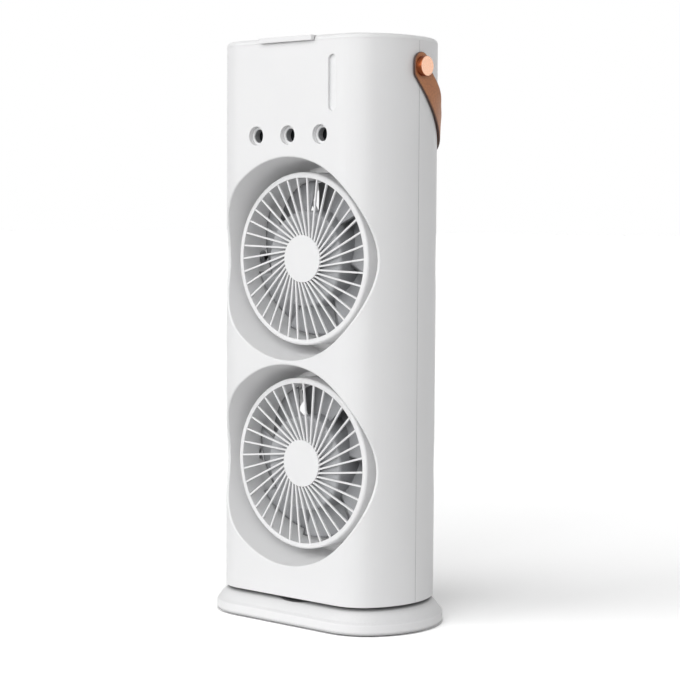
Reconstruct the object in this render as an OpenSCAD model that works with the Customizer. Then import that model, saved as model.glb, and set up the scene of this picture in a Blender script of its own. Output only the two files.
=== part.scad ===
// Dual-head portable fan: a mist tower with two tilting fan heads on a swinging base.
// Millimetres. X is to the right, the front faces -Y, Z is up, and the origin is the
// middle of the foot's underside.

/* [Tower] */
// Overall height
height = 320; // [300:1:340]
// Width of the tower
body_w = 125.2; // [122:0.2:132]
// Depth of the tower
body_d = 71.2; // [68:0.2:76]
// Width of the flat front between the rounded ends
flat_w = 72.6; // [66:0.2:76]
// Radius of the tower's corner arcs
corner_r = 22; // [20:0.5:24]
// Wall of the two shells
wall = 2.2; // [1.8:0.1:2.6]
// Height of the tower's lower edge
body_bottom = 14.8; // [14:0.1:16]
// Thickness of the top cover
cover_t = 2.8; // [2.4:0.1:3.4]
// Rounding of the top edge
edge_r = 2.4; // [1.5:0.1:2.8]
// Thickness of the tower's bottom cover
bottom_t = 2.4; // [2:0.1:3]

/* [Heads] */
// Height of the upper head's centre
upper_z = 200.3; // [198:0.1:204]
// Height of the lower head's centre
lower_z = 87.4; // [85:0.1:89]
// Radius of each opening at the front face
mouth_r = 55.3; // [54:0.1:56]
// Radius of each opening at its waist
waist_r = 51.4; // [51:0.1:52]
// Rounding of the openings' edges
mouth_edge_r = 1; // [0.6:0.1:1.2]
// Outer radius of a head
head_r = 47.4; // [46.4:0.1:47.8]
// Depth of a head from grille to grille
head_d = 35; // [34:0.5:36]
// How far the head's face lies behind the tower's front
head_recess = 12.1; // [11.5:0.1:14]
// Wall of the head's casing
casing_t = 2; // [1.6:0.1:2.4]
// Width of the front grille's rim
rim_w = 3; // [2.6:0.1:4]
// Spokes in the upper front grille
upper_spokes = 38; // [30:1:40]
// Spokes in the lower front grille
lower_spokes = 36; // [30:1:40]
// Width of a spoke
spoke_w = 1; // [0.8:0.1:1.3]
// Depth of a front spoke
spoke_d = 1; // [0.8:0.1:3]
// Radius of the front grille's middle disc
disc_r = 13; // [11:0.1:14]
// Sideways offset of each spoke from the centre
spoke_lean = 5.6; // [3:0.1:7]
// Spokes in a rear grille
rear_spokes = 20; // [16:1:28]
// Radius of the pivot pins
pivot_r = 3; // [2.5:0.1:3.2]
// Blades of an impeller
blades = 7; // [5:1:9]
// Radius of the impeller's cup
cup_r = 26.5; // [22:0.5:28]
// Radius of the fan motor
motor_r = 17; // [14:0.5:18]
// Radius of the fan motor's shaft
shaft_r = 1.5; // [1:0.1:2]

/* [Base] */
// Width of the base
base_w = 138.6; // [134:0.2:144]
// Depth of the base
base_d = 80; // [78:0.2:86]
// Height of the base's upright rim
rim_h = 6.5; // [6:0.1:7]
// Gap between the base and the tower
slit = 1; // [0.8:0.1:1.2]
// Thickness of the rubber foot
pad_t = 0.8; // [0.6:0.1:1.2]
// Radius of the swing shaft
swing_r = 3; // [2.5:0.1:3.5]

/* [Mist] */
// Height of the mist nozzles above the upper head's centre
nozzle_rise = 67.1; // [66:0.1:69]
// Spacing of the nozzles
nozzle_pitch = 23.3; // [22:0.1:25]
// Diameter of the recess round each nozzle
recess_dia = 10.4; // [10:0.1:11]
// Diameter of the hole in each nozzle
nozzle_dia = 7.4; // [5:0.1:7.6]
// Depth of a nozzle's face behind the front
nozzle_depth = 2.6; // [2.4:0.1:3.4]
// Depth of the water tank, front to back
tank_d = 27; // [25:0.5:29]
// Width of the water tank
tank_w = 88; // [84:1:92]
// Wall of the water tank
tank_t = 1.6; // [1.4:0.1:2]
// Width of the level window
window_w = 5.6; // [5:0.1:6]
// Height of the level window
window_h = 29.9; // [26:0.1:31]
// Distance of the level window from the middle
window_x = 31.8; // [30:0.1:32]

/* [Lid and buttons] */
// Width of the tank lid
lid_w = 38; // [34:1:42]
// How far the lid's lip stands out of the front
lip = 2.5; // [2:0.1:3]
// Diameter of the buttons
button_dia = 9; // [8:0.5:10]
// Spacing of the buttons
button_pitch = 17; // [15:0.5:19]
// Travel of a button
button_travel = 0.8; // [0.5:0.1:1]

/* [Strap] */
// Width of the strap
strap_w = 12; // [11:0.1:13]
// Thickness of the strap
strap_t = 1.4; // [1.2:0.1:2.4]
// Gap between the strap and the tower
strap_gap = 0.5; // [0.4:0.1:2]
// Distance of the strap's studs below the top
stud_drop = 16.4; // [15:0.1:18]
// Diameter of a stud's head
stud_dia = 10.8; // [10:0.1:12]
// Angle of the hanging strap from the vertical
strap_angle = 45; // [42:1:50]

/* [Hidden] */

$fn = 96;

// Running clearance of a pin in its bore
run = 0.05;
// Gap between pieces that only lie beside each other
gap = 0.3;
// Overlap that lets a cut pass through a face
eps = 1;
// Play round a screw, bite of its thread and depth of its sunk head
screw_play = 0.2;
screw_bite = 0.1;
screw_sink = 0.2;

white = "whitesmoke";
shade = "gainsboro";

// Outlines of the tower and the base: [width, depth, flat, corner radius]
tower = [body_w, body_d, flat_w, corner_r];
base_corner_r = 30;
base_shoulder = 33.5;
foot = [base_w, base_d, base_w - 2 * base_shoulder, base_corner_r];
plateau_inset = 2.4;
arc_steps = 12;

front_y = -body_d / 2;
cover_z = height - cover_t;
shell_h = cover_z - body_bottom;
floor_z = body_bottom + bottom_t;
plateau_z = body_bottom - slit;
head_y = front_y + head_recess + head_d / 2;
half_seam = 0.1;
nozzle_z = upper_z + nozzle_rise;
stud_z = height - stud_drop;

// Centre and radius of the side arc, and the angle where the corner arc meets it
function arc_u(o) = o[0] / 2 - o[3];
function arc_x(o) = (pow(arc_u(o), 2) - pow(o[2] / 2, 2) - pow(o[1] / 2 - o[3], 2))
    / (2 * (arc_u(o) - o[2] / 2));
function arc_r(o) = o[0] / 2 - arc_x(o);
function arc_angle(o) = atan2(o[1] / 2 - o[3], o[2] / 2 - arc_x(o));

// Points of an outline, counter-clockwise from the right
function quarter(o, inset) = concat(
    [for (i = [0 : arc_steps - 1])
        let (t = arc_angle(o) * i / arc_steps, r = arc_r(o) - inset)
        [arc_x(o) + r * cos(t), r * sin(t)]],
    [for (i = [0 : arc_steps])
        let (t = arc_angle(o) + (90 - arc_angle(o)) * i / arc_steps, r = o[3] - inset)
        [o[2] / 2 + r * cos(t), o[1] / 2 - o[3] + r * sin(t)]]);
function reversed(list) = [for (i = [len(list) - 1 : -1 : 0]) list[i]];
function outline(o, inset = 0) =
    let (q = quarter(o, inset), tail = reversed(q), last = len(q) - 1)
    concat(
        q,
        [for (i = [0 : last]) [-tail[i][0], tail[i][1]]],
        [for (i = [1 : last]) [-q[i][0], -q[i][1]]],
        [for (i = [0 : last - 1]) [tail[i][0], -tail[i][1]]]);
function at_height(points, z) = [for (p = points) [p[0], p[1], z]];
function mix(a, b, t) = [for (i = [0 : len(a) - 1]) a[i] * (1 - t) + b[i] * t];

// Solid through a stack of outlines with equal numbers of points
module loft(rings) {
    n = len(rings[0]);
    m = len(rings);
    bottom = [for (i = [0 : n - 1]) i];
    top = [for (i = [n - 1 : -1 : 0]) (m - 1) * n + i];
    sides = [for (j = [0 : m - 2], i = [0 : n - 1], half = [0, 1])
        let (k = (i + 1) % n)
        half == 0
        ? [j * n + i, (j + 1) * n + i, (j + 1) * n + k]
        : [j * n + i, (j + 1) * n + k, j * n + k]];
    polyhedron(points = [for (ring = rings) each ring], faces = concat([bottom, top], sides));
}

// Outline as a flat shape
module oval(o, inset = 0) {
    polygon(outline(o, inset));
}

module prism(o, inset, z, h) {
    translate([0, 0, z])
        linear_extrude(height = h)
            oval(o, inset);
}

// Cylinder along Y from y to y + h
module rod_y(r, y, h) {
    translate([0, y, 0])
        rotate([-90, 0, 0])
            cylinder(r = r, h = h);
}

// Cylinder along X from x to x + h
module rod_x(r, x, h) {
    translate([x, 0, 0])
        rotate([0, 90, 0])
            cylinder(r = r, h = h);
}

module ring(r_out, r_in, h) {
    difference() {
        cylinder(r = r_out, h = h);
        translate([0, 0, -eps])
            cylinder(r = r_in, h = h + 2 * eps);
    }
}

// Half space in front of or behind the seam, as a box
module half(side) {
    translate([-body_w, side > 0 ? half_seam : -body_d - half_seam, 0])
        cube([2 * body_w, body_d, height]);
}

// Base

base_gap = 0.2;
foot_inset = 1.4;
pad_inset = 2;
plate_t = 2;
plate_z = pad_t;
base_wall = 2.4;
flare_steps = 8;
hub_r = 11;
retainer_r = 14;
retainer_t = 1.2;
retainer_z = floor_z + base_gap;
glide_r = 23;
glide_w = 6;
base_screw_r = 1.4;
base_screw_l = 4;
base_head_r = 2.6;
base_head_t = 0.8;
base_boss_r = 3.4;
base_screw_inset = [17.3, 18];
base_screw_at = [base_w / 2, base_d / 2] - base_screw_inset;
weight_gap = 3.2;
weight_inset = 17;
weight_w = 2 * (base_screw_at[0] - base_boss_r - weight_gap * 2);
weight_d = base_d - 2 * weight_inset;
weight_t = 3;
rim_edge_r = 0.8;
flare_share = 0.6;
slit_scoop_w = 25;
slit_scoop_h = 1.3;
slit_scoop_x = 3.4;
slit_scoop_l = 16;
base_head_depth = screw_sink + base_head_t;
scoop_r = (pow(slit_scoop_w / 2, 2) + pow(slit_scoop_h, 2)) / (2 * slit_scoop_h);

module at_base_screws() {
    for (x = [-1, 1], y = [-1, 1])
        translate([x * base_screw_at[0], y * base_screw_at[1], 0])
            children();
}

// The rim's upright side, its soft edge and the swelling flare up to the plateau
module base_form(shrink, z0, drop) {
    rim = outline(foot, shrink);
    high = outline(tower, plateau_inset + shrink);
    edge = rim_edge_r;
    bevel = (1 - cos(45)) * edge;
    loft(concat(
        [at_height(rim, z0), at_height(rim, rim_h - edge - drop)],
        [at_height(outline(foot, shrink + bevel), rim_h - bevel - drop)],
        [for (i = [1 : flare_steps])
            let (t = i / flare_steps, rise = plateau_z - rim_h, z = rim_h - drop, s = flare_share)
            at_height(mix(outline(foot, shrink + edge), high, s * t + (1 - s) * (1 - cos(90 * t))),
                z + rise * (s * t + (1 - s) * sin(90 * t)))]));
}

module base_cover() {
    color(white) difference() {
        union() {
            difference() {
                base_form(0, plate_z, 0);
                base_form(base_wall, plate_z - eps, base_wall);
            }
            translate([0, 0, plate_z + plate_t])
                cylinder(r = hub_r, h = retainer_z - plate_z - plate_t);
            intersection() {
                base_form(base_wall / 2, plate_z, base_wall / 2);
                at_base_screws()
                    translate([0, 0, plate_z + plate_t])
                        cylinder(r = base_boss_r, h = plateau_z);
            }
        }
        translate([slit_scoop_x, front_y - eps, plateau_z - slit_scoop_h + scoop_r])
            rod_y(scoop_r, 0, slit_scoop_l);
        translate([0, 0, -eps])
            cylinder(r = swing_r, h = height);
        at_base_screws()
            translate([0, 0, plate_z])
                cylinder(r = base_screw_r, h = base_head_depth + base_screw_l + base_gap);
        translate([0, 0, plate_z - eps])
            linear_extrude(height = plate_t + eps)
                oval(foot, foot_inset);
    }
}

module base_plate() {
    color("dimgray") difference() {
        prism(foot, foot_inset + base_gap, plate_z, plate_t);
        translate([0, 0, -eps])
            cylinder(r = swing_r, h = plate_t + 3 * eps);
        at_base_screws()
            translate([0, 0, -eps])
                cylinder(r = base_screw_r + screw_play, h = plate_t + 3 * eps);
        at_base_screws()
            translate([0, 0, plate_z - eps])
                cylinder(r = base_head_r + screw_play, h = base_head_depth + eps);
    }
}

module anti_slip_pad() {
    color("darkgray") difference() {
        prism(foot, pad_inset, 0, plate_z);
        at_base_screws()
            translate([0, 0, -eps])
                cylinder(r = base_head_r + screw_play, h = plate_z + 2 * eps);
    }
}

module base_weight() {
    color("slategray") difference() {
        translate([-weight_w / 2, -weight_d / 2, plate_z + plate_t])
            cube([weight_w, weight_d, weight_t]);
        translate([0, 0, plate_z])
            cylinder(r = hub_r + gap, h = weight_t + 3 * eps);
    }
}

module base_screws() {
    color("silver") at_base_screws() {
        translate([0, 0, plate_z + screw_sink])
            cylinder(r = base_head_r, h = base_head_t);
        translate([0, 0, plate_z + base_head_depth])
            cylinder(r = base_screw_r, h = base_screw_l);
    }
}

module swing_shaft() {
    color("silver") translate([0, 0, plate_z])
        cylinder(r = swing_r, h = swing_motor_z + swing_motor_h - plate_z);
}

module swing_retainer() {
    color("silver") translate([0, 0, retainer_z])
        ring(retainer_r, swing_r, retainer_t);
}

module glide_ring() {
    color("ivory") translate([0, 0, plateau_z])
        ring(glide_r, glide_r - glide_w, slit - run);
}

// Tower

tunnel_slope = (mouth_r - waist_r) / (body_d / 2);
edge_overlap = 0.05;
edge_points = 72;
edge_arc_points = 7;
screw_reach = [49.4, 61.7];
screw_heights = [lower_z - screw_reach[0], (upper_z + lower_z) / 2, upper_z + screw_reach[1]];
boss_r = 4.4;
boss_cap = 1.5;
tank_side_gap = 1.6;
screw_x = tank_w / 2 + tank_side_gap + boss_r;
screw_r = 1.4;
screw_head_r = 2.7;
screw_head_t = 1.8;
screw_head_play = 0.4;
screw_head_y = 14;
screw_tip_y = -10;
foot_boss_r = 3.6;
foot_screw_inset = [8.1, 19.6];
foot_screw_at = [body_w / 2, body_d / 2] - foot_screw_inset;
foot_screw_l = 8;
foot_head_t = 1;
ledge = 1.5;
collar_r = 7;
cover_lip_h = 2;
pivot_y = head_y;
bush_t = 1.35;
bush_r = pivot_r + run + bush_t;
bush_flange = 1.2;
bush_lip = 1.2;
bush_setback = 0.4;
bush_bore_end = body_w / 2 - wall - 3;
socket_w = 9;
socket_h = 3.3;
socket_l = 7.5;
board_t = 1.2;
charging_z = floor_z + 4.4;
socket_z = charging_z + board_t + socket_h / 2;
stud_r = 2.5;
window_drop = 9.3;
window_flange = 2;
window_low = nozzle_z + collar_r + gap + window_flange;
window_high = cover_z - cover_lip_h - gap - window_flange;
window_l = min(window_h, window_high - window_low);
window_z = max(stud_z - window_drop, window_low + window_l / 2);
hinge_setback = 29.6;
hinge_y = front_y + hinge_setback;
hinge_r = 0.8;
hinge_z = height - cover_t / 2;
hinge_gap = 0.5;
pin_reach = 4;
button_y = 14;
button_x = [-button_pitch, 0, button_pitch];
nozzle_x = [-nozzle_pitch, 0, nozzle_pitch];

// Cone of an opening, from the waist at the seam to the mouth on one side
module tunnel(z, grow, side) {
    translate([0, 0, z])
        rotate([-90 * side, 0, 0])
            translate([0, 0, -eps])
                cylinder(
                    r1 = waist_r + grow - tunnel_slope * eps,
                    r2 = mouth_r + grow + tunnel_slope * eps,
                    h = body_d / 2 + 2 * eps);
}

// Half depth of the tower at a distance x from the middle
function half_depth(x) =
    x < tower[2] / 2
    ? body_d / 2
    : x < arc_x(tower) + arc_r(tower) * cos(arc_angle(tower))
        ? body_d / 2 - corner_r + sqrt(pow(corner_r, 2) - pow(x - tower[2] / 2, 2))
        : sqrt(pow(arc_r(tower), 2) - pow(x - arc_x(tower), 2));

// Radius of an opening at a distance y from the seam
function opening_r(y) = waist_r + tunnel_slope * y;

// Start, corner and end of the arc that rounds an opening's edge at an angle round it, each as
// radius and depth, and the corner's weight that makes the arc a circle's
function opening_edge(angle) =
    let (
        c = abs(cos(angle)),
        guess = opening_r(half_depth(mouth_r * c)),
        r = opening_r(half_depth(guess * c)) - edge_overlap,
        y = half_depth(r * c) + edge_overlap,
        fall = atan((half_depth(r * c) - half_depth((r + mouth_edge_r) * c)) / mouth_edge_r),
        reach = mouth_edge_r / tan(45 - fall / 2),
        far = r + reach * cos(fall))
    [
        [opening_r(y - reach) - edge_overlap, y - reach],
        [r, y],
        [far, half_depth(far * c) + edge_overlap],
        sin(45 - fall / 2)
    ];

// Point at a share t of that arc
function arc_point(e, t) =
    (pow(1 - t, 2) * e[0] + 2 * e[3] * t * (1 - t) * e[1] + pow(t, 2) * e[2])
    / (pow(1 - t, 2) + 2 * e[3] * t * (1 - t) + pow(t, 2));

// Ring of stuff that is cut off an opening's edge to round it
module edge_cut(z, side) {
    n = edge_points;
    m = edge_arc_points + 3;
    out_y = body_d / 2 + eps;
    rings = [for (i = [0 : n - 1])
        let (e = opening_edge(360 * i / n))
        concat([[e[0][0] - edge_overlap, out_y], [e[0][0] - edge_overlap, e[0][1]]],
            [for (k = [0 : edge_arc_points - 1]) arc_point(e, k / (edge_arc_points - 1))],
            [[e[2][0], out_y]])];
    translate([0, 0, z])
        mirror([0, side < 0 ? 1 : 0, 0])
            polyhedron(
                points = [for (i = [0 : n - 1], p = rings[i])
                    [p[0] * cos(360 * i / n), p[1], p[0] * sin(360 * i / n)]],
                faces = [for (i = [0 : n - 1], k = [0 : m - 1], tri = [0, 1])
                    let (a = i * m, b = ((i + 1) % n) * m, next = (k + 1) % m)
                    tri == 0 ? [a + k, b + k, b + next] : [a + k, b + next, a + next]]);
}

module at_shell_screws() {
    for (x = [-1, 1], z = screw_heights)
        translate([x * screw_x, 0, z])
            children();
}

module at_foot_screws() {
    for (x = [-1, 1], y = [-1, 1])
        translate([x * foot_screw_at[0], y * foot_screw_at[1], 0])
            children();
}

// Room inside a shell, less the tunnel walls, the screw bosses and the ledge
module cavity(side) {
    difference() {
        prism(tower, wall, body_bottom - eps, shell_h + 2 * eps);
        tunnel(upper_z, wall, side);
        tunnel(lower_z, wall, side);
        at_shell_screws()
            rod_y(boss_r, side > 0 ? 0 : -body_d, body_d);
        at_foot_screws()
            translate([0, 0, floor_z])
                cylinder(r = foot_boss_r, h = foot_screw_l + boss_cap);
        difference() {
            translate([-body_w, -body_d, floor_z])
                cube([2 * body_w, 2 * body_d, ledge]);
            prism(tower, wall + ledge, floor_z - eps, ledge + 2 * eps);
        }
        if (side < 0)
            for (x = nozzle_x)
                translate([x, 0, nozzle_z])
                    rod_y(collar_r, front_y, collar_l);
    }
}

module shell(side) {
    difference() {
        intersection() {
            prism(tower, 0, body_bottom, shell_h);
            half(side);
        }
        cavity(side);
        for (z = [upper_z, lower_z]) {
            tunnel(z, 0, side);
            edge_cut(z, side);
            translate([0, pivot_y, z])
                rod_x(bush_r, -bush_bore_end, 2 * bush_bore_end);
        }
        translate([-body_w / 2 - eps, 0, stud_z])
            rod_x(stud_r + run, 0, body_w + 2 * eps);
        at_foot_screws()
            translate([0, 0, floor_z - eps])
                cylinder(r = screw_r - screw_bite, h = foot_screw_l + eps);
    }
}

module slot_form(w, h, y, depth) {
    translate([window_x, y, window_z])
        rotate([-90, 0, 0])
            linear_extrude(height = depth) {
                square([w, h - w], center = true);
                for (end = [-1, 1])
                    translate([0, end * (h - w) / 2])
                        circle(r = w / 2);
            }
}

module front_shell() {
    color(white) difference() {
        shell(-1);
        for (x = nozzle_x)
            translate([x, 0, nozzle_z])
                rod_y(recess_dia / 2, front_y - eps, collar_l + 2 * eps);
        slot_form(window_w, window_l, front_y - eps, wall + 2 * eps);
        at_shell_screws()
            rod_y(screw_r - screw_bite, screw_tip_y - eps, body_d);
    }
}

module rear_shell() {
    color(white) difference() {
        shell(1);
        at_shell_screws()
            rod_y(screw_r + screw_play, -eps, body_d);
        at_shell_screws()
            rod_y(screw_head_r + screw_head_play, screw_head_y, body_d);
        translate([-socket_w / 2 - gap, front_y, socket_z - socket_h / 2 - gap])
            cube([socket_w + 2 * gap, 2 * body_d, socket_h + 2 * gap]);
    }
}

seat_gap = 0.2;
cover_lip_t = 1.4;
cover_sink = 0.5;
edge_steps = 6;
button_slide = 0.1;
post_at = [26, 8];
post_pitch = 16;
post_r = 2.4;
foot_post_r = 2;
ear_post_r = 2.6;
board_post_in = 3;

module top_cover() {
    lid_side = lid_w / 2 + gap;
    color(white) difference() {
        union() {
            loft(concat(
                [at_height(outline(tower), cover_z)],
                [for (i = [0 : edge_steps])
                    let (t = 90 * i / edge_steps)
                    at_height(outline(tower, edge_r * (1 - cos(t))),
                        height - edge_r * (1 - sin(t)))]));
            difference() {
                prism(tower, wall + seat_gap, cover_z - cover_lip_h, cover_lip_h + cover_sink);
                prism(tower, wall + seat_gap + cover_lip_t, cover_z - cover_lip_h - eps,
                    cover_lip_h + eps);
            }
            for (x = [-1, 1], y = [0, post_pitch])
                translate([x * post_at[0], post_at[1] + y, control_z + board_t])
                    cylinder(r = post_r, h = cover_z + cover_sink - control_z - board_t);
        }
        translate([-lid_side, front_y - eps, cover_z - cover_lip_h - eps])
            cube([2 * lid_side, hinge_y + cover_t / 2 + hinge_gap - front_y + eps,
                cover_lip_h + cover_t + 2 * eps]);
        translate([0, hinge_y, hinge_z])
            rod_x(hinge_r + run, -lid_side - pin_reach, 2 * (lid_side + pin_reach));
        for (x = button_x)
            translate([x, button_y, cover_z - eps])
                cylinder(r = button_dia / 2 + button_slide, h = cover_t + 2 * eps);
    }
}

module bottom_cover() {
    color(shade) difference() {
        union() {
            prism(tower, wall + seat_gap, body_bottom, bottom_t);
            for (x = [-1, 1])
                translate([x * motor_ear_x, 0, floor_z])
                    cylinder(r = ear_post_r, h = swing_motor_z - floor_z);
            for (x = [board_post_in - charging_w / 2, charging_w / 2 - board_post_in],
                y = [board_post_in, charging_d - board_post_in])
                translate([x, charging_y + y, floor_z])
                    cylinder(r = foot_post_r, h = charging_z - floor_z);
        }
        translate([0, 0, body_bottom - eps])
            cylinder(r = hub_r + run, h = bottom_t + 2 * eps);
        at_foot_screws()
            translate([0, 0, body_bottom - eps])
                cylinder(r = screw_r + screw_play, h = bottom_t + 2 * eps);
        at_foot_screws()
            translate([0, 0, body_bottom - eps])
                cylinder(r = screw_head_r + screw_play, h = screw_sink + foot_head_t + eps);
    }
}

module tower_screws() {
    color("silver") {
        at_shell_screws() {
            rod_y(screw_r, screw_tip_y, screw_head_y - screw_tip_y);
            rod_y(screw_head_r, screw_head_y, screw_head_t);
        }
        at_foot_screws() {
            translate([0, 0, body_bottom + screw_sink])
                cylinder(r = screw_head_r, h = foot_head_t);
            translate([0, 0, body_bottom + screw_sink + foot_head_t])
                cylinder(r = screw_r, h = foot_screw_l);
        }
    }
}

// Mist

tank_setback = 6.2;
tank_y = front_y + wall + tank_setback;
tank_z = upper_z + mouth_r + wall + gap;
filler_w = 28;
filler_d = 14;
filler_h = 6;
filler_setback = 17.6;
filler_y = front_y + filler_setback;
filler_gap = 0.1;
tank_top = cover_z - filler_h;
seal_t = 0.8;
wick_r = nozzle_dia / 2 - 0.1;
wick_l = 16;
disc_t = 0.5;
nozzle_t = 0.8;
disc_seal_l = 3.4;
disc_y = front_y + nozzle_depth + nozzle_t + disc_seal_l;
collar_l = disc_y + disc_t + run - front_y;
window_sink = 1.5;
window_play = 0.1;
window_flange_t = 1.2;

module water_tank() {
    color("aliceblue", 0.6) difference() {
        union() {
            translate([-tank_w / 2, tank_y, tank_z])
                cube([tank_w, tank_d, tank_top - tank_z]);
            translate([-filler_w / 2, filler_y - filler_d / 2, tank_top - eps])
                cube([filler_w, filler_d, filler_h - seal_t + eps - filler_gap]);
        }
        translate([-tank_w / 2 + tank_t, tank_y + tank_t, tank_z + tank_t])
            cube([tank_w - 2 * tank_t, tank_d - 2 * tank_t, tank_top - tank_z - 2 * tank_t]);
        translate([-filler_w / 2 + tank_t, filler_y - filler_d / 2 + tank_t, tank_top - 2 * tank_t])
            cube([filler_w - 2 * tank_t, filler_d - 2 * tank_t, 2 * tank_t + filler_h + eps]);
        for (x = nozzle_x)
            translate([x, 0, nozzle_z])
                rod_y(wick_r, tank_y - eps, tank_t + 2 * eps);
    }
}

module lid_seal() {
    color("dimgray") difference() {
        translate([-filler_w / 2, filler_y - filler_d / 2, cover_z - seal_t - filler_gap])
            cube([filler_w, filler_d, seal_t]);
        translate([-filler_w / 2 + tank_t, filler_y - filler_d / 2 + tank_t, tank_top])
            cube([filler_w - 2 * tank_t, filler_d - 2 * tank_t, filler_h + eps]);
    }
}

module level_window() {
    color("white") {
        slot_form(window_w - window_play, window_l - window_play, front_y + window_sink,
            wall - window_sink);
        slot_form(window_w + 2 * window_flange, window_l + 2 * window_flange, front_y + wall,
            window_flange_t);
    }
}

module nozzle(i) {
    color(white) translate([nozzle_x[i], front_y + nozzle_depth, nozzle_z])
        rotate([-90, 0, 0])
            ring(recess_dia / 2, nozzle_dia / 2, nozzle_t);
}

module mist_disc(i) {
    color("darkgoldenrod") translate([nozzle_x[i], 0, nozzle_z])
        rod_y(recess_dia / 2, disc_y, disc_t);
}

module disc_seals() {
    color("dimgray") for (x = nozzle_x)
        translate([x, disc_y - disc_seal_l, nozzle_z])
            rotate([-90, 0, 0])
                ring(recess_dia / 2, nozzle_dia / 2, disc_seal_l);
}

module wick(i) {
    color("linen") translate([nozzle_x[i], 0, nozzle_z])
        rod_y(wick_r, disc_y + disc_t, wick_l);
}

// Boards, battery and swing drive

control_w = 60;
control_d = 22;
control_y = 5;
control_drop = 9.5;
control_z = cover_z - control_drop;
switch_w = 6;
switch_h = 3.4;
plunger_r = 1.7;
plunger_h = 1.2;
plug_size = [14, 6, 2];
switch_top = control_z + board_t + switch_h + plunger_h;
battery_r = 9.1;
battery_l = 65;
battery_inset = 15.6;
battery_y = body_d / 2 - battery_inset;
holder_wall = 2;
holder_play = 0.1;
holder_lift = 6.8;
battery_z = tank_z + holder_lift + holder_wall + battery_r;
motor_ear_x = 17.5;
motor_ear_r = 3;
motor_ear_t = 1.2;
swing_motor_r = 12;
swing_motor_z = retainer_z + retainer_t + 0.4;
swing_motor_h = 10.5;
charging_w = 28;
charging_y = swing_motor_r + 2;
charging_d = body_d / 2 - wall - 1.4 - charging_y;
chip_w = 5;
chip_h = 1.6;
socket_wall = 0.4;
socket_setback = 0.4;
socket_floor = 1.4;
socket_y = body_d / 2 - socket_setback - socket_l;

module control_board() {
    color("seagreen") {
        translate([-control_w / 2, control_y, control_z])
            cube([control_w, control_d, board_t]);
        for (x = button_x) {
            translate([x - switch_w / 2, button_y - switch_w / 2, control_z + board_t])
                cube([switch_w, switch_w, switch_h]);
            translate([x, button_y, control_z + board_t])
                cylinder(r = plunger_r, h = switch_h + plunger_h);
        }
        translate([-control_w / 3, control_y + control_d - plug_size[1] - 1, control_z - plug_size[2]])
            cube(plug_size);
    }
}

module battery_cell() {
    color("royalblue") translate([0, battery_y, battery_z])
        rod_x(battery_r, -battery_l / 2, battery_l);
}

module battery_holder() {
    half_l = battery_l / 2 + 2 * holder_play;
    room_r = battery_r + holder_play;
    low = battery_r + holder_wall;
    color("dimgray") difference() {
        translate([-half_l - holder_wall, battery_y - low, battery_z - low])
            cube([2 * (half_l + holder_wall), body_d / 2 - wall - holder_play - battery_y + low,
                low + battery_r / 2]);
        translate([0, battery_y, battery_z])
            rod_x(room_r, -half_l, 2 * half_l);
        translate([-half_l, battery_y - room_r, battery_z])
            cube([2 * half_l, 2 * room_r, battery_r]);
    }
}

module swing_motor() {
    color("darkgray") difference() {
        union() {
            translate([0, 0, swing_motor_z])
                cylinder(r = swing_motor_r, h = swing_motor_h);
            translate([-motor_ear_x, -motor_ear_r, swing_motor_z])
                cube([2 * motor_ear_x, 2 * motor_ear_r, motor_ear_t]);
            for (x = [-1, 1])
                translate([x * motor_ear_x, 0, swing_motor_z])
                    cylinder(r = motor_ear_r, h = motor_ear_t);
        }
        translate([0, 0, swing_motor_z - eps])
            cylinder(r = swing_r + run, h = swing_motor_h + 2 * eps);
    }
}

module charging_board() {
    color("seagreen") {
        translate([-charging_w / 2, charging_y, charging_z])
            cube([charging_w, charging_d, board_t]);
        translate([-charging_w / 2 + 2, charging_y + 1, charging_z + board_t])
            cube([chip_w, chip_w, chip_h]);
    }
}

module usb_socket() {
    color("silver") difference() {
        translate([-socket_w / 2, socket_y, socket_z - socket_h / 2])
            cube([socket_w, socket_l, socket_h]);
        translate([-socket_w / 2 + socket_wall, socket_y + socket_floor,
            socket_z - socket_h / 2 + socket_wall])
            cube([socket_w - 2 * socket_wall, socket_l, socket_h - 2 * socket_wall]);
    }
}

// Heads, each drawn with its axis along +Z and its face towards +Z

face_z = head_d / 2;
back_z = -head_d / 2;
front_rim_h = 9.5;
rear_rim_h = 5;
grille_split = face_z - front_rim_h;
rear_split = back_z + rear_rim_h;
rear_spoke_d = 2;
spoke_root = 0.6;
rim_inner = head_r - rim_w;
casing_inner = head_r - casing_t;
skirt = 4;
rim_edge = 1.2;
upper_turn = 8;
lower_turn = 6;
spoke_sink = 0.2;
disc_proud = 0.3;
cup_front = face_z - spoke_sink - spoke_d - 1;
cup_t = 1.6;
blade_tip = rim_inner - 1.4;
blade_h = 14;
blade_z = back_z + 11;
blade_twist = 48;
blade_t = 1.3;
blade_root = 0.8;
blade_lean = 8;
motor_h = 12;
motor_z = back_z + rear_spoke_d;
pin_flange_r = grille_split - skirt - gap;
pin_flange_t = 1.8;
pin_start = casing_inner - gap;
pin_end = bush_bore_end - seat_gap;
lead_r = 1.6;
clip_t = 0.8;
clip_w = 1.8;
clip_x = waist_r + 2 * wall;

module at_head(z) {
    translate([0, head_y, z])
        rotate([90, 0, 0])
            children();
}

// Section of a rim with a rounded outer edge at z = 0, and its plug below
module rim_section(h) {
    translate([rim_inner, -h])
        square([rim_w, h - rim_edge]);
    translate([rim_inner, -h])
        square([rim_w - rim_edge, h]);
    translate([head_r - rim_edge, -rim_edge])
        circle(r = rim_edge);
    translate([rim_inner, -h - skirt])
        square([casing_inner - run - rim_inner, skirt + eps]);
}

function reach(r) = sqrt(r * r - spoke_lean * spoke_lean);

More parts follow.
